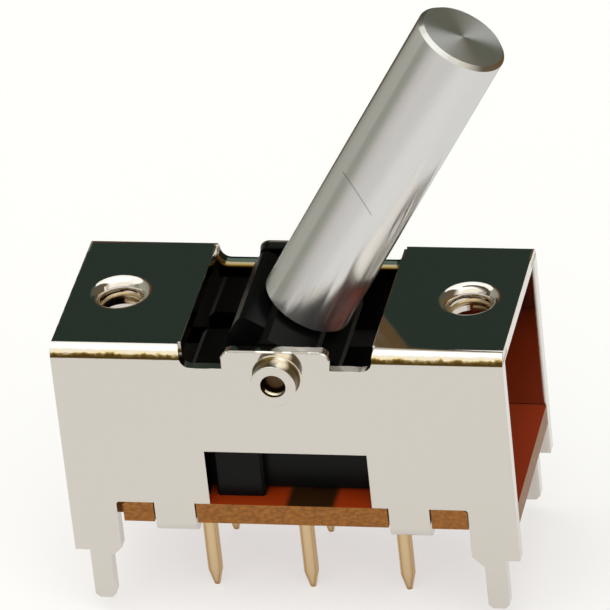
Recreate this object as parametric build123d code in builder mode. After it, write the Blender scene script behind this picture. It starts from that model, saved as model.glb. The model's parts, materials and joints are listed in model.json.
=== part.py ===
from build123d import *
import os
from math import asin, cos, degrees, radians, sin

# Lever switch for a panel or a circuit board: two positions, two rows of three terminals.
# Millimetres. The origin is the centre of the flat mounting face on top of the frame;
# +X runs along the frame, +Y to the back and +Z up. The lever is at rest leaning to +X.

os.makedirs("parts", exist_ok=True)

# ---------------------------------------------------------------- frame, folded from one sheet
frame_length = 32.0
frame_depth = 14.8
sheet = 1.0
fold_radius = 0.9
fold_inner_radius = 0.15
wall_height = 12.8
corner_radius = 0.25

opening_width = 13.6
slot_depth = 1.5
slot_corner = 0.8
tongue_width = 7.8
tongue_corner = 0.8
punch_lean = 10.0
punched_edge = 0.1

window_width = 11.6
window_height = 4.4

leg_width = 3.4
leg_length = 4.15
haunch_rise = 0.25
haunch_drop = 0.6
prong_inset = 0.85
prong_width = 1.5
prong_length = 4.05
prong_chamfer = 0.3

screw_end_margin = 3.5
screw_diameter = 3.0
collar_depth = 2.0
collar_wall = 0.65
collar_root = 0.3
lip_radius = 0.85
collar_chamfer = 0.12

clinch_pitch = 16.8
clinch_width = 2.9
clinch_reach = 2.4
clinch_corner = 0.5

# ---------------------------------------------------------------- terminal board and terminals
board_thickness = 1.6
board_leg_gap = 0.25
board_shift = 0.2
board_wall_gap = 0.05
notch_gap = 0.1

terminal_pitch = 7.0
row_pitch = 7.0
pad_length = 2.4
pad_width = 2.6
pad_thickness = 0.4
pad_bevel = 0.12
tail_width = 1.0
tail_thickness = 0.6
tail_bevel = 0.1
tail_length = 7.8
point_length = 1.3
point_width = 0.4
point_thickness = 0.35
nib_width = 0.2
nib_height = 0.4

# ---------------------------------------------------------------- pivot
pivot_drop = 2.05
pin_diameter = 1.8
pin_recess = 0.9
pin_chamfer = 0.2
pivot_collar_height = 1.25
pivot_collar_wall = 0.7
pivot_collar_root = 0.15
pivot_lip = 0.3

# ---------------------------------------------------------------- moulded lever and its cap
pivot_gap = 0.05
hub_radius = 4.1
shoulder_depth = 8.8
shoulder_height = 1.2
shoulder_chamfer = 0.25
rib_width = 4.2
rib_height = 1.65
rib_chamfer = 0.4
hub_wall_gap = 0.15
stem_diameter = 4.6
stem_length = 14.5
stem_chamfer = 0.4
arm_length = 7.3
arm_thickness = 1.7
arm_width = 2.8
arm_tip_diameter = 2.4

cap_diameter = 6.5
cap_length = 25.0
cap_seat_gap = 0.25
cap_chamfer = 0.28
cap_mouth_chamfer = 0.1
cap_bore_spare = 0.5

# ---------------------------------------------------------------- slider, contacts and springs
travel = 7.5
bar_length = 19.5
bar_depth = 10.6
bar_height = 5.0
bar_lift = 0.25
bar_chamfer = 0.4
block_length = 9.0
block_gap = 0.12
shoe_width = 3.5
shoe_lift = 0.05
shoe_gap = 0.1
shoe_chamfer = 0.2
socket_gap = 0.12
socket_floor = 0.3
socket_mouth = 1.0
channel_width = 2.6
channel_gap = 0.25
pocket_gap = 0.1
pocket_height = 0.4

bridge_overlap = 1.7
bridge_width = 2.3
bridge_thickness = 0.4
bridge_corner = 0.4
dimple_radius = 0.8
dimple_tip_radius = 0.4
dimple_depth = 0.38
contact_gap = 0.02

spring_diameter = 2.0
spring_wire = 0.3
spring_turns = 4
spring_length = 3.2
spring_gap = 0.15

# ---------------------------------------------------------------- positions worked out from these
half_length = frame_length / 2
outer_y = frame_depth / 2
inner_y = outer_y - sheet
inner_depth = 2 * inner_y
board_top = -wall_height
board_bottom = board_top - board_thickness
screw_pitch = frame_length - 2 * screw_end_margin
leg_inner_x = half_length - leg_width
shoulder_z = board_top - leg_length
prong_inner_x = leg_inner_x + prong_inset
prong_outer_x = prong_inner_x + prong_width
prong_tip_z = shoulder_z - prong_length
pin_radius = pin_diameter / 2

lean = degrees(asin(travel / 2 / arm_length))
slider_x = -travel / 2
rows = {"front": -row_pitch / 2, "rear": row_pitch / 2}
columns = {"left": -terminal_pitch, "centre": 0.0, "right": terminal_pitch}


# ---------------------------------------------------------------- frame
with BuildPart() as frame:
    # The channel: a solid block with rounded folds, hollowed from below.
    with BuildSketch(Plane.YZ.offset(-half_length)) as outside:
        Rectangle(frame_depth, wall_height, align=(Align.CENTER, Align.MAX))
        fillet(outside.vertices().group_by(Axis.Y)[-1], fold_radius)
    extrude(amount=frame_length)
    with BuildSketch(Plane.YZ.offset(-half_length)) as inside:
        with Locations((0, -sheet)):
            Rectangle(inner_depth, wall_height, align=(Align.CENTER, Align.MAX))
        fillet(inside.vertices().group_by(Axis.Y)[-1], fold_inner_radius)
    extrude(amount=frame_length, mode=Mode.SUBTRACT)

    # Collars drawn down round the two screw holes.
    with GridLocations(screw_pitch, 0, 2, 1):
        with Locations((0, 0, -sheet)):
            Cylinder(
                screw_diameter / 2 + collar_wall,
                collar_depth - sheet,
                align=(Align.CENTER, Align.CENTER, Align.MAX),
            )
    rings = frame.edges().filter_by(GeomType.CIRCLE)
    chamfer(rings.filter_by_position(Axis.Z, -sheet, -sheet), collar_root)
    with GridLocations(screw_pitch, 0, 2, 1):
        Hole(screw_diameter / 2)
    rings = frame.edges().filter_by(GeomType.CIRCLE)
    fillet(rings.filter_by_position(Axis.Z, 0, 0), lip_radius)
    rings = frame.edges().filter_by(GeomType.CIRCLE)
    mouths = rings.filter_by_position(Axis.Z, -collar_depth, -collar_depth)
    chamfer(mouths.group_by(SortBy.RADIUS)[0], collar_chamfer)

    # The opening for the lever. Each wall has a slot down from it on both sides of a flat
    # tongue; the punched faces lean in and are broken at the outside.
    Box(opening_width, inner_depth, 2 * slot_depth, mode=Mode.SUBTRACT)
    for side in (-1, 1):
        wall_face = Plane((0, side * outer_y, 0), x_dir=(side, 0, 0), z_dir=(0, -side, 0))
        with BuildSketch(wall_face) as slot:
            Rectangle(opening_width, 2 * slot_depth)
            fillet(slot.vertices().group_by(Axis.Y)[0], slot_corner)
        extrude(amount=sheet, taper=-punch_lean, mode=Mode.SUBTRACT)
        with BuildSketch(wall_face) as tongue:
            Rectangle(tongue_width, 2 * slot_depth, align=(Align.CENTER, Align.MAX))
            fillet(tongue.vertices().group_by(Axis.Y)[-1], tongue_corner)
        extrude(amount=sheet, taper=punch_lean)
    outer_edges = frame.edges().filter_by_position(Axis.Z, -slot_depth, 0)
    outer_edges = outer_edges.filter_by(
        lambda e: abs(abs(e.center().Y) - outer_y) < 0.001 and abs(e.center().X) < tongue_width / 2 + 0.01
    )
    chamfer(outer_edges, punched_edge)

    # The window above the board.
    with BuildSketch(Plane.XZ):
        with Locations((0, board_top)):
            Rectangle(window_width, window_height, align=(Align.CENTER, Align.MIN))
    extrude(amount=outer_y, both=True, mode=Mode.SUBTRACT)

    # Pivot collars drawn outward through the walls, sharp at the mouth and eased inside.
    for side in (-1, 1):
        with BuildSketch(Plane((0, side * inner_y, -pivot_drop), z_dir=(0, side, 0))):
            Circle(pin_radius + pivot_collar_wall)
        extrude(amount=sheet + pivot_collar_height)
    with BuildSketch(Plane((0, 0, -pivot_drop), z_dir=(0, 1, 0))):
        Circle(pin_radius)
    extrude(amount=frame_depth, both=True, mode=Mode.SUBTRACT)
    for side in (-1, 1):
        rings = frame.edges().filter_by(GeomType.CIRCLE).filter_by(lambda e: e.is_closed)
        chamfer(rings.filter_by_position(Axis.Y, side * outer_y, side * outer_y), pivot_collar_root)
        rings = frame.edges().filter_by(GeomType.CIRCLE).filter_by(lambda e: e.is_closed)
        chamfer(rings.filter_by_position(Axis.Y, side * inner_y, side * inner_y), pivot_lip)

    # Legs at the four corners, each narrowing to a prong.
    with BuildSketch(Plane.XZ.offset(inner_y)) as leg:
        with BuildLine():
            Polyline(
                (leg_inner_x, board_top),
                (leg_inner_x, shoulder_z + haunch_rise),
                (prong_inner_x, shoulder_z - haunch_drop),
                (prong_inner_x, prong_tip_z + prong_chamfer),
                (prong_inner_x + prong_chamfer, prong_tip_z),
                (prong_outer_x - prong_chamfer, prong_tip_z),
                (prong_outer_x, prong_tip_z + prong_chamfer),
                (prong_outer_x, shoulder_z),
                (half_length, shoulder_z),
                (half_length, board_top),
                close=True,
            )
        make_face()
        mirror(about=Plane.YZ)
    extrude(amount=sheet)
    mirror(about=Plane.XZ)
    leg_roots = frame.edges().filter_by(Axis.Y).filter_by_position(Axis.Z, board_top, board_top)
    leg_roots = leg_roots.filter_by(lambda e: abs(abs(e.center().X) - leg_inner_x) < corner_radius)
    fillet(leg_roots, corner_radius)

    # Clinched tabs: down through the board's notches and folded in under it.
    for x in (-clinch_pitch / 2, clinch_pitch / 2):
        with BuildSketch(Plane.YZ.offset(x - clinch_width / 2)) as hook:
            with Locations((-outer_y, board_top)):
                Rectangle(clinch_reach, board_thickness + sheet, align=(Align.MIN, Align.MAX))
            fillet(hook.vertices().sort_by(Axis.Y)[:2].sort_by(Axis.X)[0], fold_radius)
            with Locations((-inner_y, board_top)):
                Rectangle(
                    clinch_reach, board_thickness, align=(Align.MIN, Align.MAX), mode=Mode.SUBTRACT
                )
            mirror(about=Plane.YZ)
        extrude(amount=clinch_width)
    hook_ends = frame.edges().filter_by(Axis.Z).filter_by(
        lambda e: e.center().Z < board_bottom and abs(e.center().Y) < outer_y - clinch_reach + 0.01
    )
    chamfer(hook_ends, clinch_corner)

frame.part.label = "frame"
export_step(frame.part, "parts/frame.step")

# ---------------------------------------------------------------- terminal board
with BuildPart() as terminal_board:
    with BuildSketch(Plane.XY.offset(board_bottom)):
        Rectangle(frame_length, inner_depth - 2 * board_wall_gap)
        with Locations((board_shift, 0)):
            Rectangle(2 * (leg_inner_x - board_leg_gap), frame_depth)
        with GridLocations(clinch_pitch, frame_depth, 2, 2):
            Rectangle(clinch_width + 2 * notch_gap, 2 * (sheet + board_wall_gap), mode=Mode.SUBTRACT)
        with GridLocations(terminal_pitch, row_pitch, 3, 2):
            Rectangle(tail_width, tail_thickness, mode=Mode.SUBTRACT)
    extrude(amount=board_thickness)
    # The ends beside the legs clear the legs' rounded roots.
    top_ends = terminal_board.edges().filter_by(Axis.Y).group_by(Axis.Z)[-1]
    top_ends = top_ends.filter_by(lambda e: abs(e.center().Y) > inner_y)
    top_ends = top_ends.sort_by(Axis.X)
    chamfer(top_ends[:2] + top_ends[-2:], corner_radius)
terminal_board.part.label = "terminal_board"
export_step(terminal_board.part, "parts/terminal_board.step")


# ---------------------------------------------------------------- six terminals
# A flat contact pad lies on the board; its tail goes through a slot, is nipped just below the
# board to hold it, and ends in a blunt point.
point_z = board_bottom - tail_length
pad_top = board_top + pad_thickness

for row, y in rows.items():
    for column, x in columns.items():
        with BuildPart() as terminal:
            with BuildSketch(Plane.XY.offset(board_top)):
                with Locations((x, y)):
                    Rectangle(pad_length, pad_width)
            extrude(amount=pad_thickness)
            chamfer(terminal.edges().filter_by(Axis.Z), pad_bevel)
            chamfer(terminal.faces().sort_by(Axis.Z)[-1].edges(), pad_bevel)
            with BuildSketch(Plane.XY.offset(board_top)) as tail:
                with Locations((x, y)):
                    Rectangle(tail_width, tail_thickness)
                chamfer(tail.vertices(), tail_bevel)
            extrude(amount=point_z + point_length - board_top)
            with BuildSketch(Plane.XY.offset(point_z + point_length)) as taper:
                with Locations((x, y)):
                    Rectangle(tail_width, tail_thickness)
                chamfer(taper.vertices(), tail_bevel)
            with BuildSketch(Plane.XY.offset(point_z)) as point:
                with Locations((x, y)):
                    Rectangle(point_width, point_thickness)
                chamfer(point.vertices(), tail_bevel)
            loft()
            with BuildSketch(Plane.XY.offset(board_bottom)):
                with Locations((x, y)):
                    Rectangle(tail_width + 2 * nib_width, tail_thickness)
            extrude(amount=-nib_height)
        terminal.part.label = f"terminal_{row}_{column}"
        export_step(terminal.part, f"parts/terminal_{row}_{column}.step")


# ---------------------------------------------------------------- pivot pin
# A plain pin pressed into both collars, its ends set a little inside their mouths.
pin_half = outer_y + pivot_collar_height - pin_recess

with BuildPart() as pivot_pin:
    with BuildSketch(Plane((0, 0, -pivot_drop), z_dir=(0, 1, 0))):
        Circle(pin_radius)
    extrude(amount=pin_half, both=True)
    chamfer(pivot_pin.edges().filter_by(GeomType.CIRCLE), pin_chamfer)
pivot_pin.part.label = "pivot_pin"
export_step(pivot_pin.part, "parts/pivot_pin.step")


# ---------------------------------------------------------------- lever body
# Drawn upright along its own axis, on planes through the pivot that lean with the lever.
across = (cos(radians(lean)), 0, -sin(radians(lean)))
along = (sin(radians(lean)), 0, cos(radians(lean)))
pivot_point = (0, 0, -pivot_drop)
lever_side = Plane(pivot_point, x_dir=across, z_dir=(0, -1, 0))
lever_end = Plane(pivot_point, x_dir=across, z_dir=along)
lever_axis = Axis(pivot_point, along)

with BuildPart() as lever_body:
    # Shoulder block: round about the pivot below, flat on top.
    with BuildSketch(lever_side):
        Circle(hub_radius)
        with Locations((0, shoulder_height)):
            Rectangle(
                2 * hub_radius,
                hub_radius,
                align=(Align.CENTER, Align.MIN),
                mode=Mode.SUBTRACT,
            )
    extrude(amount=shoulder_depth / 2, both=True)
    top_edges = lever_body.edges().filter_by(Axis.Y).group_by(lever_axis)[-1]
    chamfer(top_edges, shoulder_chamfer)

    # Barrel with a flat-topped rib, filling the gap between the walls.
    with BuildSketch(lever_side) as barrel:
        Circle(rib_width / 2)
        Rectangle(rib_width, rib_width / 2, align=(Align.CENTER, Align.MIN))
        with Locations((0, rib_height)):
            Rectangle(
                rib_width,
                rib_width,
                align=(Align.CENTER, Align.MIN),
                mode=Mode.SUBTRACT,
            )
        chamfer(barrel.vertices().group_by(Axis.Y)[-1], rib_chamfer)
    extrude(amount=inner_y - hub_wall_gap, both=True)

    # Arm reaching down into the slider, with a round end.
    with BuildSketch(lever_side):
        Rectangle(arm_thickness, arm_length, align=(Align.CENTER, Align.MAX))
        with Locations((0, -arm_length)):
            Circle(arm_tip_diameter / 2)
    extrude(amount=arm_width / 2, both=True)

    # Stem that the cap is pressed on.
    with BuildSketch(lever_end):
        Circle(stem_diameter / 2)
    extrude(amount=stem_length)
    chamfer(lever_body.edges().filter_by(GeomType.CIRCLE).sort_by(Axis.Z)[-1], stem_chamfer)

    with BuildSketch(lever_side):
        Circle(pin_radius + pivot_gap)
    extrude(amount=outer_y, both=True, mode=Mode.SUBTRACT)
lever_body.part.label = "lever_body"
export_step(lever_body.part, "parts/lever_body.step")


# ---------------------------------------------------------------- lever cap
# A turned sleeve with a blind bore, pressed on the stem to just above the lever's rib.
cap_start = rib_height + cap_seat_gap

with BuildPart() as lever_cap:
    with BuildSketch(lever_end.offset(cap_start)):
        Circle(cap_diameter / 2)
    extrude(amount=cap_length)
    with BuildSketch(lever_end.offset(cap_start)):
        Circle(stem_diameter / 2)
    extrude(amount=stem_length - cap_start + cap_bore_spare, mode=Mode.SUBTRACT)
    rims = lever_cap.edges().filter_by(GeomType.CIRCLE)
    outer_rims = rims.group_by(SortBy.RADIUS)[-1].sort_by(Axis.Z)
    chamfer(outer_rims[-1], cap_chamfer)
    chamfer(outer_rims[0], cap_mouth_chamfer)
lever_cap.part.label = "lever_cap"
export_step(lever_cap.part, "parts/lever_cap.step")


# ---------------------------------------------------------------- slider
bar_bottom = board_top + bar_lift
block_top = -pivot_drop - hub_radius - block_gap
tip_high = -pivot_drop - arm_length * cos(radians(lean))
tip_low = -pivot_drop - arm_length
socket_half = arm_tip_diameter / 2 + socket_gap
socket_bottom = tip_low - arm_tip_diameter / 2 - socket_floor
dimple_bottom = pad_top + contact_gap
bridge_bottom = dimple_bottom + dimple_depth
bridge_top = bridge_bottom + bridge_thickness
channel_top = bridge_bottom + channel_gap
pocket_top = bridge_top + pocket_height
bridge_length = terminal_pitch + 2 * bridge_overlap
spring_top = bridge_top + spring_length

with BuildPart() as slider:
    with BuildSketch(Plane.XZ) as bar:
        with Locations((slider_x, bar_bottom)):
            Rectangle(bar_length, bar_height, align=(Align.CENTER, Align.MIN))
        chamfer(bar.vertices().group_by(Axis.Y)[-1], bar_chamfer)
    extrude(amount=bar_depth / 2, both=True)
    # The block in the middle that takes the lever's arm.
    with BuildSketch(Plane.XZ) as block:
        with Locations((slider_x, bar_bottom)):
            Rectangle(block_length, block_top - bar_bottom, align=(Align.CENTER, Align.MIN))
        chamfer(block.vertices().group_by(Axis.Y)[-1], bar_chamfer)
    extrude(amount=bar_depth / 2, both=True)
    # Shoes that run on the board and between the walls.
    with BuildSketch(Plane.XY.offset(board_top + shoe_lift)) as shoes:
        with Locations((slider_x, 0)):
            Rectangle(shoe_width, 2 * (inner_y - shoe_gap))
        chamfer(shoes.vertices(), shoe_chamfer)
    extrude(amount=bar_height + bar_lift - shoe_lift - bar_chamfer)
    # Socket for the lever's arm, flared so that the leaning arm clears its mouth.
    with BuildSketch(Plane.XZ):
        with BuildLine():
            Polyline(
                (slider_x - socket_half, socket_bottom),
                (slider_x - socket_half, tip_high),
                (slider_x - socket_half - socket_mouth, block_top),
                (slider_x + socket_half + socket_mouth, block_top),
                (slider_x + socket_half, tip_high),
                (slider_x + socket_half, socket_bottom),
                close=True,
            )
        make_face()
    extrude(amount=arm_width / 2 + socket_gap, both=True, mode=Mode.SUBTRACT)
    # Underneath: a channel over each row of pads, a pocket for the bridge and one for its spring.
    with BuildSketch(Plane.XY.offset(board_top)):
        with Locations((slider_x, 0)):
            with GridLocations(0, row_pitch, 1, 2):
                Rectangle(bar_length, channel_width)
    extrude(amount=channel_top - board_top, mode=Mode.SUBTRACT)
    with BuildSketch(Plane.XY.offset(channel_top)):
        with Locations((slider_x, 0)):
            with GridLocations(0, row_pitch, 1, 2):
                Rectangle(bridge_length + 2 * pocket_gap, channel_width)
    extrude(amount=pocket_top - channel_top, mode=Mode.SUBTRACT)
    with BuildSketch(Plane.XY.offset(pocket_top)):
        with Locations((slider_x, 0)):
            with GridLocations(0, row_pitch, 1, 2):
                Circle(spring_diameter / 2 + spring_gap)
    extrude(amount=spring_top - pocket_top, mode=Mode.SUBTRACT)
slider.part.label = "slider"
export_step(slider.part, "parts/slider.step")


# ---------------------------------------------------------------- contact bridges and springs
for row, y in rows.items():
    with BuildPart() as bridge:
        with BuildSketch(Plane.XY.offset(bridge_bottom)):
            with Locations((slider_x, y)):
                RectangleRounded(bridge_length, bridge_width, bridge_corner)
        extrude(amount=bridge_thickness)
        # Two contact points that rub on the pads.
        with Locations((slider_x, y, bridge_bottom)):
            with GridLocations(terminal_pitch, 0, 2, 1):
                Cone(
                    dimple_tip_radius,
                    dimple_radius,
                    dimple_depth,
                    align=(Align.CENTER, Align.CENTER, Align.MAX),
                )
    bridge.part.label = f"contact_bridge_{row}"
    export_step(bridge.part, f"parts/contact_bridge_{row}.step")

    with BuildPart() as spring:
        wire_radius = spring_wire / 2
        coil_height = spring_length - spring_wire
        with BuildLine() as coil:
            Helix(
                pitch=coil_height / spring_turns,
                height=coil_height,
                radius=(spring_diameter - spring_wire) / 2,
                center=(slider_x, y, bridge_top + wire_radius),
            )
        with BuildSketch(Plane(coil.line @ 0, z_dir=coil.line % 0)):
            RegularPolygon(wire_radius, 6)
        sweep(is_frenet=True)
    spring.part.label = f"contact_spring_{row}"
    export_step(spring.part, f"parts/contact_spring_{row}.step")
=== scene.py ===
import json
from math import cos, pi, radians, sin

import bmesh
import bpy
from bpy.props import FloatProperty, FloatVectorProperty, IntProperty, PointerProperty
from mathutils import Matrix, Vector


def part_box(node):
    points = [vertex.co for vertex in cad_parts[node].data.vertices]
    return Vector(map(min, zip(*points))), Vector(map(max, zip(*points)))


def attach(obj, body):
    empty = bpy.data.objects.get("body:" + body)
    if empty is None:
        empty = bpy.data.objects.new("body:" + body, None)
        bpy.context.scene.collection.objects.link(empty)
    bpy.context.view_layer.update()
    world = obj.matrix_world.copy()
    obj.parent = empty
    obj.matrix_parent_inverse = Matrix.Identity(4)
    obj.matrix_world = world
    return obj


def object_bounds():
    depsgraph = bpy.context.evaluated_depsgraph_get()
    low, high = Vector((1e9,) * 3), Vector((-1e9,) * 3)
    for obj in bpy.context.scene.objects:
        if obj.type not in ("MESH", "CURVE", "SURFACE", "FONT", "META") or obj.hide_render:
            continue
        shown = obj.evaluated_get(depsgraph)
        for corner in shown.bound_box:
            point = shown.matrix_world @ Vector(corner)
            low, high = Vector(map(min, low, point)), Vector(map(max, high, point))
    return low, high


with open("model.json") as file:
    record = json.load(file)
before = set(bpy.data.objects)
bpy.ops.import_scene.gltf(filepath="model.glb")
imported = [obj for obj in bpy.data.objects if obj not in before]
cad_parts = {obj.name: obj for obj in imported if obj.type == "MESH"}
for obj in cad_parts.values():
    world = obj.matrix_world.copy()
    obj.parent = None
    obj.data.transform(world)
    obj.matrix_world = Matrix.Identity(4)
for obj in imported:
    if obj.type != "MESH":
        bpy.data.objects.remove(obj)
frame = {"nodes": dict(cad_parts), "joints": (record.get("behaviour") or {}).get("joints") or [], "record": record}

bl_info = {
    "name": "Lever Slide Switch",
    "version": (1, 0, 0),
    "blender": (4, 5, 0),
    "location": "3D View > Sidebar > Switch",
    "description": "Finishes and fine detail for a lever switch with a folded nickel-plated frame",
    "category": "Object",
}

MM = 0.001
CAD_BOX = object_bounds()

NODES = frame["nodes"]
MOUNTS = {mount["name"]: mount for mount in frame["record"]["mounts"]}
LEVER_JOINT = next(joint for joint in frame["joints"] if joint["name"] == "lever_pivot")
FRAME_BOX, BOARD_BOX, CAP_BOX = (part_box(node) for node in ("frame", "terminal_board", "lever_cap"))

PIVOT = Vector(LEVER_JOINT["pos_m"])
LEAN = radians(LEVER_JOINT["range_deg"][1] / 2)
LEVER_AXIS = Vector((sin(LEAN), 0, cos(LEAN)))
CAP_RADIUS = (CAP_BOX[1].y - CAP_BOX[0].y) / 2
FLOOR_Z = CAD_BOX[0].z

# Faces of the frame and the board, in millimetres from the middle of the top.
END = FRAME_BOX[1].x / MM
COLLAR_END = FRAME_BOX[1].y / MM
WALL = BOARD_BOX[1].y / MM
BOARD_TOP = BOARD_BOX[1].z / MM
PIN_DROP = -PIVOT.z / MM
SHEET = 1.0  # thickness of the frame's sheet
FOLD = 0.9  # outer radius of the bends
OPENING = 6.8  # half the width of the opening for the lever
TONGUE = 3.9  # half the width of the tongue in each wall
SLOT = 1.5  # depth of the slots beside the tongues

# Where a finish changes, in millimetres: low corner, high corner, width of the soft edge. Each box
# reaches a little past the faces that it covers. These are the same at both ends and in both walls,
# and lie in distances from the middle, without a sign.
BEND = (OPENING - 1.7, WALL - 2.0, 0), (END + 1, WALL + 0.6, FOLD - 0.02), 0.05
PEBBLED_BEND = (OPENING - 1.8, WALL - 2.1, 0.06), (END + 1, WALL + 0.6, FOLD + 0.4), 0.2
COLLAR_SIDE = (-3, WALL + 0.02, -1), (3, COLLAR_END - 0.05, 5), 0.04
COLLAR_MOUTH = (-1, COLLAR_END - 0.65, PIN_DROP + 0.25), (0.75, COLLAR_END - 0.23, PIN_DROP + 1.15), 0.08
TONGUE_EDGE = (-1, WALL - 0.2, -1), (TONGUE + 0.3, WALL + 0.2, 0.13), 0.02
# These have one place only, left or right, front or rear.
REAR_OPENING = (-OPENING - 0.05, WALL - SHEET - 0.1, -SLOT - 1.1), (OPENING + 0.05, WALL, 0.1), 0.03
REAR_TONGUE = (-TONGUE + 0.1, WALL - SHEET - 0.1, -SLOT + 0.3), (TONGUE + 0.05, WALL, 0.1), 0.03
# A dark patch of painted shade on the front of the board's top.
PAINTED_SHADE_PATCH = (-0.6, -WALL - 1.6, BOARD_TOP - 0.5), (3.3, -2, BOARD_TOP + 1), 0.45
# Middle of the painted highlight spot on top of the front collar.
COLLAR_GLINT = Vector((0.5, -WALL - 0.6, -0.6)) * MM


def srgb(hex_code):
    """A hex colour as linear red, green and blue."""
    channels = [int(hex_code[i : i + 2], 16) / 255 for i in (0, 2, 4)]
    return tuple(c / 12.92 if c <= 0.04045 else ((c + 0.055) / 1.055) ** 2.4 for c in channels)


def rgba(colour):
    """A linear colour with full opacity."""
    return (*colour, 1.0)


# ---------------------------------------------------------------- settings
class FinishSettings(bpy.types.PropertyGroup):
    nickel: FloatVectorProperty(
        name="Nickel", description="Colour of the bright nickel plate on the frame",
        subtype="COLOR", size=3, min=0, max=1, default=srgb("CFCAC3"))
    aluminium: FloatVectorProperty(
        name="Aluminium", description="Colour of the turned lever cap",
        subtype="COLOR", size=3, min=0, max=1, default=srgb("D5D5D5"))
    plastic: FloatVectorProperty(
        name="Black plastic", description="Colour of the lever body and the slider",
        subtype="COLOR", size=3, min=0, max=1, default=srgb("070808"))
    laminate: FloatVectorProperty(
        name="Laminate", description="Colour of the terminal board's faces",
        subtype="COLOR", size=3, min=0, max=1, default=srgb("96310A"))
    laminate_edge: FloatVectorProperty(
        name="Laminate edge", description="Colour of the terminal board's cut edges",
        subtype="COLOR", size=3, min=0, max=1, default=srgb("865522"))
    brass: FloatVectorProperty(
        name="Tinned brass", description="Colour of the six terminals",
        subtype="COLOR", size=3, min=0, max=1, default=srgb("D0B891"))


class ThreadSettings(bpy.types.PropertyGroup):
    pitch: FloatProperty(
        name="Pitch", description="Distance from one thread ridge to the next",
        subtype="DISTANCE", unit="LENGTH", min=0.2 * MM, default=0.5 * MM)
    depth: FloatProperty(
        name="Depth", description="Height of a ridge above the hole's wall",
        subtype="DISTANCE", unit="LENGTH", min=0.05 * MM, default=0.16 * MM)
    run_out: FloatProperty(
        name="Run-out", description="How far the thread starts above the plain part of the hole",
        subtype="DISTANCE", unit="LENGTH", min=0, default=0.1 * MM)
    segments: IntProperty(
        name="Segments", description="Steps round one turn", min=16, max=256, default=72)


class StageSettings(bpy.types.PropertyGroup):
    azimuth: FloatProperty(
        name="Azimuth", description="How far the camera stands to the right of the front",
        subtype="ANGLE", unit="ROTATION", default=radians(14.11))
    elevation: FloatProperty(
        name="Elevation", description="Camera height above the horizon",
        subtype="ANGLE", unit="ROTATION", default=radians(32.18))
    roll: FloatProperty(
        name="Roll", description="Tilt of the camera about its view",
        subtype="ANGLE", unit="ROTATION", default=radians(6.29))
    distance: FloatProperty(
        name="Distance", description="From the camera to the point that it circles",
        subtype="DISTANCE", unit="LENGTH", default=470.5 * MM)
    centre: FloatVectorProperty(
        name="Centre", description="Point that the camera circles",
        subtype="TRANSLATION", unit="LENGTH", size=3, default=(0, 0, -7.14 * MM))
    aim: FloatVectorProperty(
        name="Aim", description="Point in the middle of the picture",
        subtype="TRANSLATION", unit="LENGTH", size=3, default=(0.03 * MM, 2.93 * MM, -2.64 * MM))
    lens: FloatProperty(name="Lens", description="Focal length in millimetres", default=393.6)
    floor_colour: FloatVectorProperty(
        name="Floor", description="Colour of the floor",
        subtype="COLOR", size=3, min=0, max=1, default=srgb("F2F2EE"))
    floor_radius: FloatProperty(
        name="Floor radius", description="From the middle of the floor to its rim",
        subtype="DISTANCE", unit="LENGTH", min=0.1, default=700 * MM)
    band_radius: FloatProperty(
        name="Wood band radius", description="From the middle of the floor to the wooden surround",
        subtype="DISTANCE", unit="LENGTH", min=0.045, default=65 * MM)
    band_top: FloatProperty(
        name="Wood band top", description="Height of the surround above the floor",
        subtype="DISTANCE", unit="LENGTH", min=0.001, default=42 * MM)


# ---------------------------------------------------------------- node helpers
def add(tree, kind, inputs=(), stops=(), **settings):
    """Adds a shader node, sets its settings and a ramp's (position, colour) stops, and fills its
    inputs with values or links."""
    node = tree.nodes.new(kind)
    for name, value in settings.items():
        setattr(node, name, value)
    for name, value in dict(inputs).items():
        socket = node.inputs[name]
        if kind == "ShaderNodeMix" and name in "AB":
            socket = next(item for item in node.inputs if item.name == name and item.type == "RGBA")
        if isinstance(value, bpy.types.NodeSocket):
            tree.links.new(value, socket)
        else:
            socket.default_value = value
    for index, (position, colour) in enumerate(stops):
        elements = node.color_ramp.elements
        if index == len(elements):
            elements.new(1.0)
        elements[index].position = position
        elements[index].color = rgba(colour)
    return node


def new_material(name):
    """An empty node material, its node tree and its output node."""
    material = bpy.data.materials.new(name)
    material.use_nodes = True
    material.node_tree.nodes.clear()
    return material, material.node_tree, add(material.node_tree, "ShaderNodeOutputMaterial")


def per(size):
    """The pattern scale at which one speck is so many millimetres across."""
    return 1 / (size * MM)


def inside(tree, place, region):
    """1 well inside a region's box, falling to 0 over its soft edge."""
    low, high, soft = region
    past_low = add(tree, "ShaderNodeVectorMath", {0: place, 1: Vector(low) * MM}, operation="SUBTRACT")
    to_high = add(tree, "ShaderNodeVectorMath", {0: Vector(high) * MM, 1: place}, operation="SUBTRACT")
    nearest = add(tree, "ShaderNodeVectorMath", {
        0: past_low.outputs[0], 1: to_high.outputs[0]}, operation="MINIMUM")
    gap = add(tree, "ShaderNodeSeparateXYZ", {"Vector": nearest.outputs[0]}).outputs
    least = add(tree, "ShaderNodeMath", {0: gap["X"], 1: gap["Y"]}, operation="MINIMUM")
    least = add(tree, "ShaderNodeMath", {0: least.outputs[0], 1: gap["Z"]}, operation="MINIMUM")
    return add(tree, "ShaderNodeMapRange", {
        "Value": least.outputs[0], "From Max": soft * MM}).outputs["Result"]


def paint(node_names, material):
    """Gives a material to the solids of these names."""
    for name in node_names:
        NODES[name].material_slots[0].material = material


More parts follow.
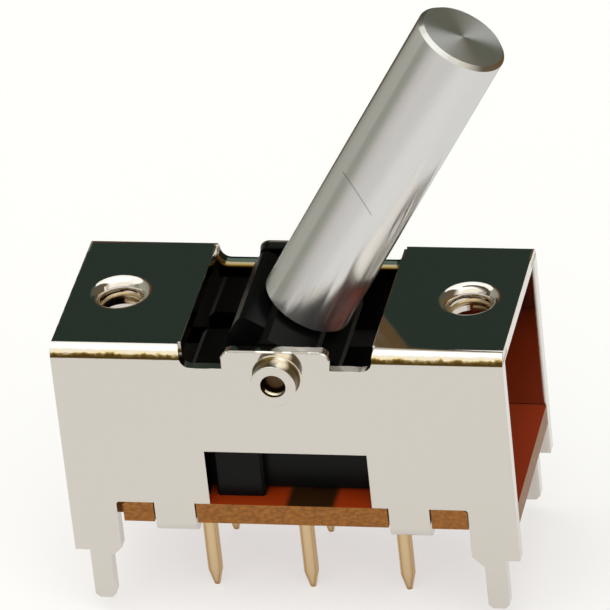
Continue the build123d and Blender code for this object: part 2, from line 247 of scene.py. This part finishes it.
# ---------------------------------------------------------------- materials
def bright_nickel(colour):
    """Bright nickel plate on rolled steel. It is a near mirror, so it shows dark where it faces the
    dark end of the room. The bends are pebbled by the press, and a painted reflection turns them golden
    and then brown; the pivot collars are painted a dark golden reflection, with a painted highlight spot
    on top of the front one and a painted highlight crescent in each mouth; at the rear the cut edges
    carry a painted reflection, golden on the inner half and dark on the outer one, and the tongue is
    painted near-black, as painted shade and dark reflection, with a painted highlight line at its outer edge."""
    material, tree, output = new_material("bright_nickel_plate")
    place = add(tree, "ShaderNodeTexCoord").outputs["Object"]
    away = add(tree, "ShaderNodeVectorMath", {0: place}, operation="ABSOLUTE").outputs[0]
    where = add(tree, "ShaderNodeSeparateXYZ", {"Vector": place}).outputs
    out = add(tree, "ShaderNodeSeparateXYZ", {"Vector": away}).outputs
    # The press leaves pebbles of half a millimetre and nicks of a little over one, drawn as coarse as
    # they show.
    grain = add(tree, "ShaderNodeTexNoise", {
        "Vector": place, "Scale": per(0.588), "Detail": 3.0}).outputs["Fac"]
    nicks = add(tree, "ShaderNodeTexNoise", {
        "Vector": place, "Scale": per(1.25), "Detail": 4.0}).outputs["Fac"]
    bend, pebbled, barrel, crescent, top_edge = (inside(tree, away, region) for region in (
        BEND, PEBBLED_BEND, COLLAR_SIDE, COLLAR_MOUTH, TONGUE_EDGE))
    punched, tongue = (inside(tree, place, region) for region in (REAR_OPENING, REAR_TONGUE))

    # Edges are eased by the plate, unevenly in front and more at the rear, where they were sheared.
    front_ease = add(tree, "ShaderNodeMapRange", {
        "Value": nicks, "From Min": 0.44, "From Max": 0.56, "To Max": 0.12 * MM})
    ease = add(tree, "ShaderNodeMapRange", {
        "Value": where["Y"], "From Min": (WALL - 2.2) * MM, "From Max": (WALL - 2.1) * MM,
        "To Min": front_ease.outputs["Result"], "To Max": 0.3 * MM})
    edge = add(tree, "ShaderNodeBevel", {"Radius": ease.outputs["Result"]}, samples=8)
    flare = add(tree, "ShaderNodeMapRange", {
        "Value": out["Y"], "From Min": (COLLAR_END - 0.2) * MM, "From Max": (COLLAR_END - 0.75) * MM})
    mouth = add(tree, "ShaderNodeBump", {
        "Height": flare.outputs["Result"], "Distance": 0.4 * MM, "Normal": edge.outputs["Normal"],
        "Strength": crescent})
    bump = add(tree, "ShaderNodeBump", {
        "Height": grain, "Strength": pebbled, "Distance": 0.05 * MM, "Normal": mouth.outputs["Normal"]})

    # Down the bend, with a ragged edge, a painted reflection turns the plate golden and then brown.
    ragged = add(tree, "ShaderNodeMath", {0: grain, 1: 0.7 * MM, 2: out["Z"]}, operation="MULTIPLY_ADD")
    down = add(tree, "ShaderNodeMapRange", {
        "Value": ragged.outputs[0], "From Min": 0.5 * MM, "From Max": 1.1 * MM})
    bend_reflection = add(tree, "ShaderNodeValToRGB", {"Fac": down.outputs["Result"]}, stops=(
        (0.25, colour), (0.48, srgb("D2C6A2")), (0.64, srgb("8C7340")), (0.88, srgb("56421C"))))
    # Through the sheet, from the inner face to the outer one.
    across = add(tree, "ShaderNodeMapRange", {
        "Value": where["Y"], "From Min": (WALL - SHEET) * MM, "From Max": WALL * MM}).outputs["Result"]
    # Painted reflection on the rear opening's cut edges: golden and cream on the inner half of the sheet, dark
    # green on the outer half.
    rear_edge_reflection = add(tree, "ShaderNodeValToRGB", {"Fac": across}, stops=(
        (0.0, srgb("2A1C0A")), (0.1, srgb("6A5220")), (0.25, srgb("96835C")), (0.38, srgb("968A6E")),
        (0.5, srgb("3B463B")), (0.9, srgb("4A5A50"))))
    # Painted shade and dark reflection on the rear tongue: near-black, with a painted highlight line near its
    # outer face.
    tongue_shade_and_highlight = add(tree, "ShaderNodeValToRGB", {"Fac": across}, stops=(
        (0.0, srgb("060806")), (0.7, srgb("0A0C0A")), (0.85, srgb("A29985"))))
    # The collar barrels are painted a dark golden reflection, except for a near-white painted highlight spot round
    # the glint point on the front one.
    from_glint = add(tree, "ShaderNodeVectorMath", {0: place, 1: COLLAR_GLINT}, operation="DISTANCE")
    collar_dark_reflection = add(tree, "ShaderNodeMapRange", {
        "Value": from_glint.outputs["Value"], "From Min": 0.4 * MM, "From Max": 0.75 * MM,
        "To Max": barrel})
    nicked = add(tree, "ShaderNodeMapRange", {
        "Value": nicks, "From Min": 0.56, "From Max": 0.5, "To Max": top_edge})
    tint = rgba(colour)
    # Over the plate: the painted bend reflection, the painted reflections and shade at the rear, the collar's
    # painted highlight spot and dark golden reflection, a painted highlight crescent in each collar mouth, and
    # grey nicks on the tongues' top edges.
    for amount, over in (
            (bend, bend_reflection.outputs["Color"]),
            (punched, rear_edge_reflection.outputs["Color"]),
            (tongue, tongue_shade_and_highlight.outputs["Color"]),
            (barrel, rgba(srgb("FFF8E4"))),
            (collar_dark_reflection.outputs["Result"], rgba(srgb("64542C"))),
            (crescent, rgba(srgb("F0E6C8"))),
            (nicked.outputs["Result"], rgba(srgb("8C8880")))):
        tint = add(tree, "ShaderNodeMix", {
            "Factor": amount, "A": tint, "B": over}, data_type="RGBA").outputs["Result"]
    dullness = add(tree, "ShaderNodeMapRange", {"Value": barrel, "To Min": 0.08, "To Max": 0.3})
    shader = add(tree, "ShaderNodeBsdfPrincipled", {
        "Base Color": tint, "Metallic": 1.0, "Roughness": dullness.outputs["Result"],
        "Normal": bump.outputs["Normal"]})
    tree.links.new(shader.outputs["BSDF"], output.inputs["Surface"])
    return material


def on_cap(up, turn):
    """A point on the cap's side, so far up the lever and turned so far to the right of the front."""
    side = Vector((0, 1, 0)).cross(LEVER_AXIS)
    return PIVOT + up * LEVER_AXIS + CAP_RADIUS * (sin(turn) * side + cos(turn) * Vector((0, -1, 0)))


def hairline(tree, place):
    """1 on a hairline scratch that runs across the front of the cap and a little down it."""
    start, end = on_cap(14.0 * MM, radians(-54)), on_cap(12.75 * MM, radians(8))
    middle, run, half_width = (start + end) / 2, (end - start).normalized(), 0.04 * MM
    # The stroke's own direction, in which the line is straight, and the side of the cap that it is on.
    stroke, facing = Vector((-0.2, 0.8, -0.55)), on_cap(0, radians(-23)) - PIVOT
    limits = (
        (run, (end - start).length / 2),
        (run.cross(stroke).normalized(), half_width),
        (facing, 0.5 * CAP_RADIUS ** 2))
    offset = add(tree, "ShaderNodeVectorMath", {0: place, 1: middle}, operation="SUBTRACT")
    share = 1.0
    for direction, reach in limits:
        distance = add(tree, "ShaderNodeVectorMath", {
            0: offset.outputs[0], 1: direction}, operation="DOT_PRODUCT")
        within = add(tree, "ShaderNodeMath", {
            0: distance.outputs["Value"], 1: 0.0, 2: reach}, operation="COMPARE")
        share = add(tree, "ShaderNodeMath", {
            0: within.outputs[0], 1: share}, operation="MULTIPLY").outputs[0]
    return share


def turned_aluminium(colour):
    """Turned aluminium. Fine tool marks round the axis smear reflections along it, into soft streaks
    up the side and a fan on the end, whose chamfer is a shade duller."""
    material, tree, output = new_material("turned_aluminium")
    coordinates = add(tree, "ShaderNodeTexCoord").outputs
    place = coordinates["Object"]
    arm = add(tree, "ShaderNodeVectorMath", {0: place, 1: PIVOT}, operation="SUBTRACT")
    marks_run = add(tree, "ShaderNodeVectorMath", {
        0: LEVER_AXIS, 1: arm.outputs[0]}, operation="CROSS_PRODUCT")
    tangent = add(tree, "ShaderNodeVectorTransform", {
        "Vector": marks_run.outputs[0]}, vector_type="VECTOR", convert_from="OBJECT", convert_to="WORLD")
    along = add(tree, "ShaderNodeVectorMath", {
        0: coordinates["Normal"], 1: LEVER_AXIS}, operation="DOT_PRODUCT").outputs["Value"]
    roughness = add(tree, "ShaderNodeMapRange", {
        "Value": along, "From Min": 0.8, "From Max": 0.9, "To Min": 0.18, "To Max": 0.34})
    chamfer = add(tree, "ShaderNodeMath", {0: along, 1: cos(pi / 4), 2: 0.1}, operation="COMPARE")
    eased = add(tree, "ShaderNodeMix", {
        "Factor": chamfer.outputs[0], "A": rgba(colour), "B": rgba(srgb("B4B3AE"))}, data_type="RGBA")
    scratched = add(tree, "ShaderNodeMix", {
        "Factor": hairline(tree, place), "A": eased.outputs["Result"], "B": rgba(srgb("A8A6A1"))},
        data_type="RGBA")
    marks = add(tree, "ShaderNodeBsdfAnisotropic", {
        "Color": scratched.outputs["Result"], "Roughness": roughness.outputs["Result"], "Anisotropy": 0.6,
        "Tangent": tangent.outputs[0]})
    haze = add(tree, "ShaderNodeBsdfAnisotropic", {"Color": rgba(colour), "Roughness": 0.7})
    mixed = add(tree, "ShaderNodeMixShader", {
        0: 0.08, 1: marks.outputs["BSDF"], 2: haze.outputs["BSDF"]})
    tree.links.new(mixed.outputs["Shader"], output.inputs["Surface"])
    return material


def moulded_plastic(name, colour, roughness, gloss):
    """Moulded black plastic. It is nearly black, with a soft sheen on its edges and a faint mould
    texture of 0.4 mm."""
    material, tree, output = new_material(name)
    place = add(tree, "ShaderNodeTexCoord").outputs["Object"]
    grain = add(tree, "ShaderNodeTexNoise", {"Vector": place, "Scale": per(0.4), "Detail": 2.0})
    bump = add(tree, "ShaderNodeBump", {
        "Height": grain.outputs["Fac"], "Strength": 0.1, "Distance": 0.02 * MM})
    shader = add(tree, "ShaderNodeBsdfPrincipled", {
        "Base Color": rgba(colour), "Roughness": roughness, "Specular IOR Level": gloss,
        "Normal": bump.outputs["Normal"]})
    tree.links.new(shader.outputs["BSDF"], output.inputs["Surface"])
    return material


def paper_laminate(face, edge):
    """Paper laminate. Its pressed faces are a smooth red-brown, with a dark patch of painted shade on the top,
    and its sawn edges are mottled by paper fibres some 0.4 mm across, flattened along the layers."""
    material, tree, output = new_material("paper_laminate")
    place = add(tree, "ShaderNodeTexCoord").outputs["Object"]
    flattened = add(tree, "ShaderNodeMapping", {"Vector": place, "Scale": (1, 1, 1.6)})
    fibres = add(tree, "ShaderNodeTexNoise", {
        "Vector": flattened.outputs["Vector"], "Scale": per(0.385), "Detail": 6.0, "Roughness": 0.7})
    dark, pale = (tuple(min(1, share * c) for c in edge) for share in (0.6, 1.5))
    mottled = add(tree, "ShaderNodeValToRGB", {"Fac": fibres.outputs["Fac"]}, stops=(
        (0.32, dark), (0.52, edge), (0.72, pale)))
    # Painted shade: a dark patch on the front of the top face.
    pressed = add(tree, "ShaderNodeMix", {
        "Factor": inside(tree, place, PAINTED_SHADE_PATCH), "A": rgba(face), "B": rgba(srgb("2C1806"))},
        data_type="RGBA")
    facing = add(tree, "ShaderNodeSeparateXYZ", {
        "Vector": add(tree, "ShaderNodeNewGeometry").outputs["Normal"]})
    flat = add(tree, "ShaderNodeMath", {0: facing.outputs["Z"]}, operation="ABSOLUTE")
    colour = add(tree, "ShaderNodeMix", {
        "Factor": flat.outputs[0], "A": mottled.outputs["Color"], "B": pressed.outputs["Result"]},
        data_type="RGBA")
    shader = add(tree, "ShaderNodeBsdfPrincipled", {
        "Base Color": colour.outputs["Result"], "Roughness": 0.4, "Specular IOR Level": 0.2})
    tree.links.new(shader.outputs["BSDF"], output.inputs["Surface"])
    return material


def plain_metal(name, colour, roughness, rim=None):
    """Drawn, rolled or cut metal. It is plain, with a faint grain of 0.7 mm and eased edges that catch
    the light; rim is a darker colour painted near its edges and in its grooves, as painted shade."""
    material, tree, output = new_material(name)
    place = add(tree, "ShaderNodeTexCoord").outputs["Object"]
    grain = add(tree, "ShaderNodeTexNoise", {"Vector": place, "Scale": per(0.667), "Detail": 3.0})
    edge = add(tree, "ShaderNodeBevel", {"Radius": 0.2 * MM}, samples=8)
    bump = add(tree, "ShaderNodeBump", {
        "Height": grain.outputs["Fac"], "Strength": 0.15, "Distance": 0.02 * MM,
        "Normal": edge.outputs["Normal"]})
    tint = rgba(colour)
    if rim:
        # Within half a millimetre of an edge, a wide bevel's normal leaves the face's own.
        wide = add(tree, "ShaderNodeBevel", {"Radius": 0.55 * MM}, samples=8)
        alike = add(tree, "ShaderNodeVectorMath", {
            0: wide.outputs["Normal"], 1: add(tree, "ShaderNodeNewGeometry").outputs["Normal"]},
            operation="DOT_PRODUCT")
        near_edge = add(tree, "ShaderNodeMapRange", {
            "Value": alike.outputs["Value"], "From Min": 0.99, "From Max": 0.93})
        # Painted shade: near edges and in grooves the metal turns to the darker rim colour.
        tint = add(tree, "ShaderNodeMix", {
            "Factor": near_edge.outputs["Result"], "A": rgba(colour), "B": rgba(rim)},
            data_type="RGBA").outputs["Result"]
    shader = add(tree, "ShaderNodeBsdfPrincipled", {
        "Base Color": tint, "Metallic": 1.0, "Roughness": roughness, "Normal": bump.outputs["Normal"]})
    tree.links.new(shader.outputs["BSDF"], output.inputs["Surface"])
    return material


# ---------------------------------------------------------------- pieces
class SWITCH_OT_finish_frame(bpy.types.Operator):
    """Nickel plate on the frame"""
    bl_idname = "lever_switch.finish_frame"
    bl_label = "Finish Frame"

    def execute(self, context):
        paint(["frame"], bright_nickel(context.scene.switch_finish.nickel))
        return {"FINISHED"}


class SWITCH_OT_finish_board(bpy.types.Operator):
    """Laminate on the terminal board, tinned brass on the terminals"""
    bl_idname = "lever_switch.finish_board"
    bl_label = "Finish Board and Terminals"

    def execute(self, context):
        finish = context.scene.switch_finish
        paint(["terminal_board"], paper_laminate(finish.laminate, finish.laminate_edge))
        terminals = [name for name in NODES if name.startswith("terminal_") and name != "terminal_board"]
        # Their edges are painted a darker brown, as painted shade on the pins' rounded edges.
        paint(terminals, plain_metal("tinned_brass", finish.brass, 0.3, srgb("A9814F")))
        return {"FINISHED"}


class SWITCH_OT_finish_lever(bpy.types.Operator):
    """Black plastic on the lever and slider, turned aluminium on the cap, steel on the pin"""
    bl_idname = "lever_switch.finish_lever"
    bl_label = "Finish Lever and Slider"

    def execute(self, context):
        finish = context.scene.switch_finish
        paint(["lever_body"], moulded_plastic("moulded_lever", finish.plastic, 0.3, 0.06))
        paint(["slider"], moulded_plastic("moulded_slider", finish.plastic, 0.35, 0.12))
        paint(["lever_cap"], turned_aluminium(finish.aluminium))
        # The pin's end, deep in the collar's bore, is painted dark brown, as painted shade.
        paint(["pivot_pin"], plain_metal("pin_steel_painted_shade", srgb("5A4632"), 0.45))
        return {"FINISHED"}


class SWITCH_OT_finish_contacts(bpy.types.Operator):
    """Silvered bridges and steel springs inside the slider"""
    bl_idname = "lever_switch.finish_contacts"
    bl_label = "Finish Contacts"

    def execute(self, context):
        bridges = [name for name in NODES if name.startswith("contact_bridge_")]
        springs = [name for name in NODES if name.startswith("contact_spring_")]
        paint(bridges, plain_metal("silvered_bridge", srgb("D8D0BE"), 0.3))
        paint(springs, plain_metal("spring_wire", srgb("B9B9B6"), 0.25))
        return {"FINISHED"}


class SWITCH_OT_cut_threads(bpy.types.Operator):
    """Thread ridges in the two screw holes"""
    bl_idname = "lever_switch.cut_threads"
    bl_label = "Cut Threads"

    # One ridge's outline: its height, in thread depths, and how far down it is, in pitches. It starts
    # and ends a little inside the hole's wall.
    RIDGE = ((-0.03, 0), (0.65, 0.24), (1, 0.5), (0.65, 0.76), (-0.03, 1))

    def execute(self, context):
        # The roots are painted darker, as painted shade in the grooves, and the crests are golden.
        metal = plain_metal("thread_painted_root_shade", srgb("CDBB96"), 0.32, srgb("6E5430"))
        for name in ("screw_hole_left", "screw_hole_right"):
            self.cut(context, MOUNTS[name], name.replace("screw_hole", "thread"), metal)
        return {"FINISHED"}

    def cut(self, context, mount, name, metal):
        """A ridge that winds down the wall of a mount's hole."""
        settings = context.scene.switch_thread
        radius, length = mount["dims"]["r_mm"] * MM, mount["dims"]["length_mm"] * MM
        centre = Vector(mount["pos_m"])
        top = centre + Vector((0, 0, length / 2 + settings.run_out))
        turns = (length + settings.run_out) / settings.pitch - 1
        mesh = bmesh.new()
        profile = [
            mesh.verts.new(top + Vector((radius - rise * settings.depth, 0, -drop * settings.pitch)))
            for rise, drop in self.RIDGE]
        edges = [mesh.edges.new(pair) for pair in zip(profile, profile[1:])]
        bmesh.ops.spin(
            mesh, geom=profile + edges, cent=centre, axis=(0, 0, 1),
            dvec=(0, 0, -settings.pitch / settings.segments), angle=2 * pi * turns,
            steps=int(settings.segments * turns), use_merge=False)
        thread = finished(context, mesh, name, metal)
        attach(thread, "frame")


def finished(context, mesh, name, material):
    """A smooth object in the scene, from a bmesh."""
    bmesh.ops.recalc_face_normals(mesh, faces=mesh.faces)
    data = bpy.data.meshes.new(name)
    mesh.to_mesh(data)
    mesh.free()
    for polygon in data.polygons:
        polygon.use_smooth = True
    data.materials.append(material)
    piece = bpy.data.objects.new(name, data)
    context.scene.collection.objects.link(piece)
    return piece


# ---------------------------------------------------------------- stage
# What polished metal sees round it, as linear light: a white ceiling, cream walls in front, and a
# dark, half-wooden end of the room behind.
CEILING = (1.6, 1.6, 1.57)
CREAM = (1.44, 1.38, 1.24)
LIGHT = (0.79, 0.765, 0.74)
PALE = (0.72, 0.69, 0.65)
GREY = (0.49, 0.49, 0.42)
DULL = (0.36, 0.37, 0.30)
DIM = (0.36, 0.365, 0.30)
OLIVE = (0.13, 0.14, 0.10)
WARM = (0.18, 0.14, 0.09)
RUST = (0.14, 0.07, 0.035)
WOOD = (0.22, 0.13, 0.045)
SHADE = (0.032, 0.050, 0.040)

# The room's left side, by heading: degrees from the front, growing to the right.
LEFT_SIDE = (
    (-160, SHADE), (-154, RUST), (-150, RUST), (-144, DULL), (-118, GREY), (-92, GREY), (-82, DIM),
    (-74, DIM), (-54, PALE))
BAND_LIGHT = (
    *LEFT_SIDE, (-35, LIGHT), (60, LIGHT), (75, WOOD), (150, WOOD), (165, OLIVE), (176, SHADE))
WALL_LIGHT = (
    *LEFT_SIDE, (-45, PALE), (-30, CREAM), (60, CREAM), (90, WARM), (120, WARM), (150, OLIVE),
    (165, OLIVE), (180, SHADE))

# The ceiling starts lower towards the front: its height there, in sines of the angle, and its slope.
CEILING_START = (0.62, 0.64)
CEILING_SLOPE = 0.167
FRONT_HEADING = radians(-12)
# The ceiling stays dark on the right, and the part in front is cream; cosines from each heading.
RIGHT_HEADING = radians(110)
RIGHT_DARK = (0.49, 0.41)
FRONT_CREAM = (0.44, 0.5)


def by_heading(stops):
    """Colour stops given by heading as stops of a radial gradient."""
    return sorted(((heading / 360 + 0.25) % 1, colour) for heading, colour in stops)


def towards(heading):
    """A level direction, by its angle from the front to the right."""
    return (sin(heading), -cos(heading), 0)


class SWITCH_OT_set_stage(bpy.types.Operator):
    """Pale floor, soft lamp, room and camera"""
    bl_idname = "lever_switch.set_stage"
    bl_label = "Set Stage"

    def execute(self, context):
        settings = context.scene.switch_stage
        self.floor(context, settings)
        self.band(context, settings)
        self.lamp(context)
        self.room(context)
        self.camera(context, settings)
        context.scene.view_settings.view_transform = "Standard"
        return {"FINISHED"}

    def revolved(self, context, name, outline, material):
        """A stage piece turned about the upright through the middle of the floor."""
        mesh = bmesh.new()
        corners = [mesh.verts.new((across, 0, FLOOR_Z + up)) for across, up in outline]
        edges = [mesh.edges.new(pair) for pair in zip(corners, corners[1:])]
        bmesh.ops.spin(
            mesh, geom=corners + edges, cent=(0, 0, 0), axis=(0, 0, 1), dvec=(0, 0, 0), angle=2 * pi,
            steps=96, use_merge=True)
        bmesh.ops.remove_doubles(mesh, verts=mesh.verts, dist=0.01 * MM)
        piece = finished(context, mesh, name, material)
        return piece

    def floor(self, context, settings):
        """A pale disc whose rim curves up. It glows a little for the camera and in polished metal, and
        keeps the switch's soft shadow."""
        radius, curl = settings.floor_radius, 0.2 * settings.floor_radius
        outline = [(0, 0)] + [
            (radius + curl * sin(radians(bend)), curl * (1 - cos(radians(bend)))) for bend in range(0, 45, 5)]
        material, tree, output = new_material("floor_paper")
        shader = add(tree, "ShaderNodeBsdfPrincipled", {
            "Base Color": rgba(settings.floor_colour), "Roughness": 0.9, "Specular IOR Level": 0.1})
        glow = add(tree, "ShaderNodeEmission", {"Color": (1, 1, 1, 1)})
        ray = add(tree, "ShaderNodeLightPath").outputs
        mirrored = add(tree, "ShaderNodeMath", {
            0: ray["Is Glossy Ray"], 1: ray["Is Transmission Ray"]}, operation="MAXIMUM")
        seen = add(tree, "ShaderNodeMath", {
            0: ray["Is Camera Ray"], 1: mirrored.outputs[0]}, operation="MAXIMUM")
        share = add(tree, "ShaderNodeMath", {0: seen.outputs[0], 1: 0.6}, operation="MULTIPLY")
        mixed = add(tree, "ShaderNodeMixShader", {
            0: share.outputs[0], 1: shader.outputs["BSDF"], 2: glow.outputs["Emission"]})
        tree.links.new(mixed.outputs["Shader"], output.inputs["Surface"])
        self.revolved(context, "floor", outline, material)

    def band(self, context, settings):
        """A low surround, wooden on the right, that only shows in polished surfaces."""
        material, tree, output = new_material("wooden_surround")
        place = add(tree, "ShaderNodeTexCoord").outputs["Object"]
        turn = add(tree, "ShaderNodeTexGradient", {"Vector": place}, gradient_type="RADIAL")
        colour = add(tree, "ShaderNodeValToRGB", {"Fac": turn.outputs["Fac"]}, stops=by_heading(BAND_LIGHT))
        shader = add(tree, "ShaderNodeEmission", {"Color": colour.outputs["Color"]})
        tree.links.new(shader.outputs["Emission"], output.inputs["Surface"])
        radius = settings.band_radius
        ring = self.revolved(context, "wooden_surround", [(radius, 0), (radius, settings.band_top)], material)
        ring.visible_camera = False
        ring.visible_diffuse = False
        ring.visible_shadow = False

    def lamp(self, context):
        """One large, soft lamp overhead, a little in front."""
        data = bpy.data.lights.new("lamp_overhead", "AREA")
        data.shape, data.size, data.size_y, data.energy = "RECTANGLE", 0.8, 0.8, 1.0
        lamp = bpy.data.objects.new("lamp_overhead", data)
        lamp.location = (0, -0.1, 0.9)
        lamp.rotation_euler = (-lamp.location).to_track_quat("-Z", "Y").to_euler()
        context.scene.collection.objects.link(lamp)

    def room(self, context):
        """White ceiling, cream wall in front, dark wall at the back."""
        world = bpy.data.worlds.new("room")
        world.use_nodes = True
        tree = world.node_tree
        tree.nodes.clear()
        sky = add(tree, "ShaderNodeTexCoord").outputs["Generated"]
        height = add(tree, "ShaderNodeSeparateXYZ", {"Vector": sky}).outputs["Z"]
        turn = add(tree, "ShaderNodeTexGradient", {"Vector": sky}, gradient_type="RADIAL")
        walls = add(tree, "ShaderNodeValToRGB", {"Fac": turn.outputs["Fac"]}, stops=by_heading(WALL_LIGHT))
        front, right = (
            add(tree, "ShaderNodeVectorMath", {0: sky, 1: towards(heading)}, operation="DOT_PRODUCT")
            for heading in (FRONT_HEADING, RIGHT_HEADING))
        raised = add(tree, "ShaderNodeMath", {
            0: front.outputs["Value"], 1: CEILING_SLOPE, 2: height}, operation="MULTIPLY_ADD")
        above = add(tree, "ShaderNodeMapRange", {
            "Value": raised.outputs[0], "From Min": CEILING_START[0], "From Max": CEILING_START[1]})
        lit = add(tree, "ShaderNodeMapRange", {
            "Value": right.outputs["Value"], "From Min": RIGHT_DARK[0], "From Max": RIGHT_DARK[1],
            "To Max": above.outputs["Result"]})
        facing = add(tree, "ShaderNodeMapRange", {
            "Value": front.outputs["Value"], "From Min": FRONT_CREAM[0], "From Max": FRONT_CREAM[1]})
        cream = add(tree, "ShaderNodeMath", {
            0: facing.outputs["Result"], 1: above.outputs["Result"]}, operation="MULTIPLY")
        upper = add(tree, "ShaderNodeMix", {
            "Factor": lit.outputs["Result"], "A": walls.outputs["Color"], "B": rgba(CEILING)},
            data_type="RGBA")
        colour = add(tree, "ShaderNodeMix", {
            "Factor": cream.outputs[0], "A": upper.outputs["Result"], "B": rgba(CREAM)},
            data_type="RGBA")
        background = add(tree, "ShaderNodeBackground", {
            "Color": colour.outputs["Result"], "Strength": 1.0})
        output = add(tree, "ShaderNodeOutputWorld")
        tree.links.new(background.outputs[0], output.inputs["Surface"])
        context.scene.world = world

    def camera(self, context, settings):
        """The camera, on its arc round the switch."""
        turn, rise = settings.azimuth, settings.elevation
        back = Vector((sin(turn) * cos(rise), -cos(turn) * cos(rise), sin(rise)))
        place = Vector(settings.centre) + settings.distance * back
        look = (Vector(settings.aim) - place).to_track_quat("-Z", "Y").to_matrix().to_4x4()
        data = bpy.data.cameras.new("camera")
        data.lens = settings.lens
        data.sensor_width = 36
        camera = bpy.data.objects.new("camera", data)
        camera.matrix_world = Matrix.Translation(place) @ look @ Matrix.Rotation(-settings.roll, 4, "Z")
        context.scene.collection.objects.link(camera)
        context.scene.camera = camera


# ---------------------------------------------------------------- panel and registration
class SWITCH_PT_sidebar(bpy.types.Panel):
    """Lists the switch's operators and settings"""
    bl_idname = "SWITCH_PT_sidebar"
    bl_label = "Lever Slide Switch"
    bl_space_type = "VIEW_3D"
    bl_region_type = "UI"
    bl_category = "Switch"

    def draw(self, context):
        scene = context.scene
        for settings in (scene.switch_finish, scene.switch_thread, scene.switch_stage):
            box = self.layout.box()
            for name in settings.__annotations__:
                box.prop(settings, name)
        for operator in OPERATORS:
            self.layout.operator(operator.bl_idname)


OPERATORS = (
    SWITCH_OT_finish_frame,
    SWITCH_OT_finish_board,
    SWITCH_OT_finish_lever,
    SWITCH_OT_finish_contacts,
    SWITCH_OT_cut_threads,
    SWITCH_OT_set_stage,
)
SETTINGS = (FinishSettings, ThreadSettings, StageSettings)
CLASSES = (*SETTINGS, *OPERATORS, SWITCH_PT_sidebar)


def register():
    for cls in CLASSES:
        bpy.utils.register_class(cls)
    bpy.types.Scene.switch_finish = PointerProperty(type=FinishSettings)
    bpy.types.Scene.switch_thread = PointerProperty(type=ThreadSettings)
    bpy.types.Scene.switch_stage = PointerProperty(type=StageSettings)


def unregister():
    del bpy.types.Scene.switch_stage
    del bpy.types.Scene.switch_thread
    del bpy.types.Scene.switch_finish
    for cls in reversed(CLASSES):
        bpy.utils.unregister_class(cls)


def main():
    register()
    bpy.ops.lever_switch.finish_frame()
    bpy.ops.lever_switch.finish_board()
    bpy.ops.lever_switch.finish_lever()
    bpy.ops.lever_switch.finish_contacts()
    bpy.ops.lever_switch.cut_threads()
    bpy.ops.lever_switch.set_stage()


if __name__ == "__main__":
    main()
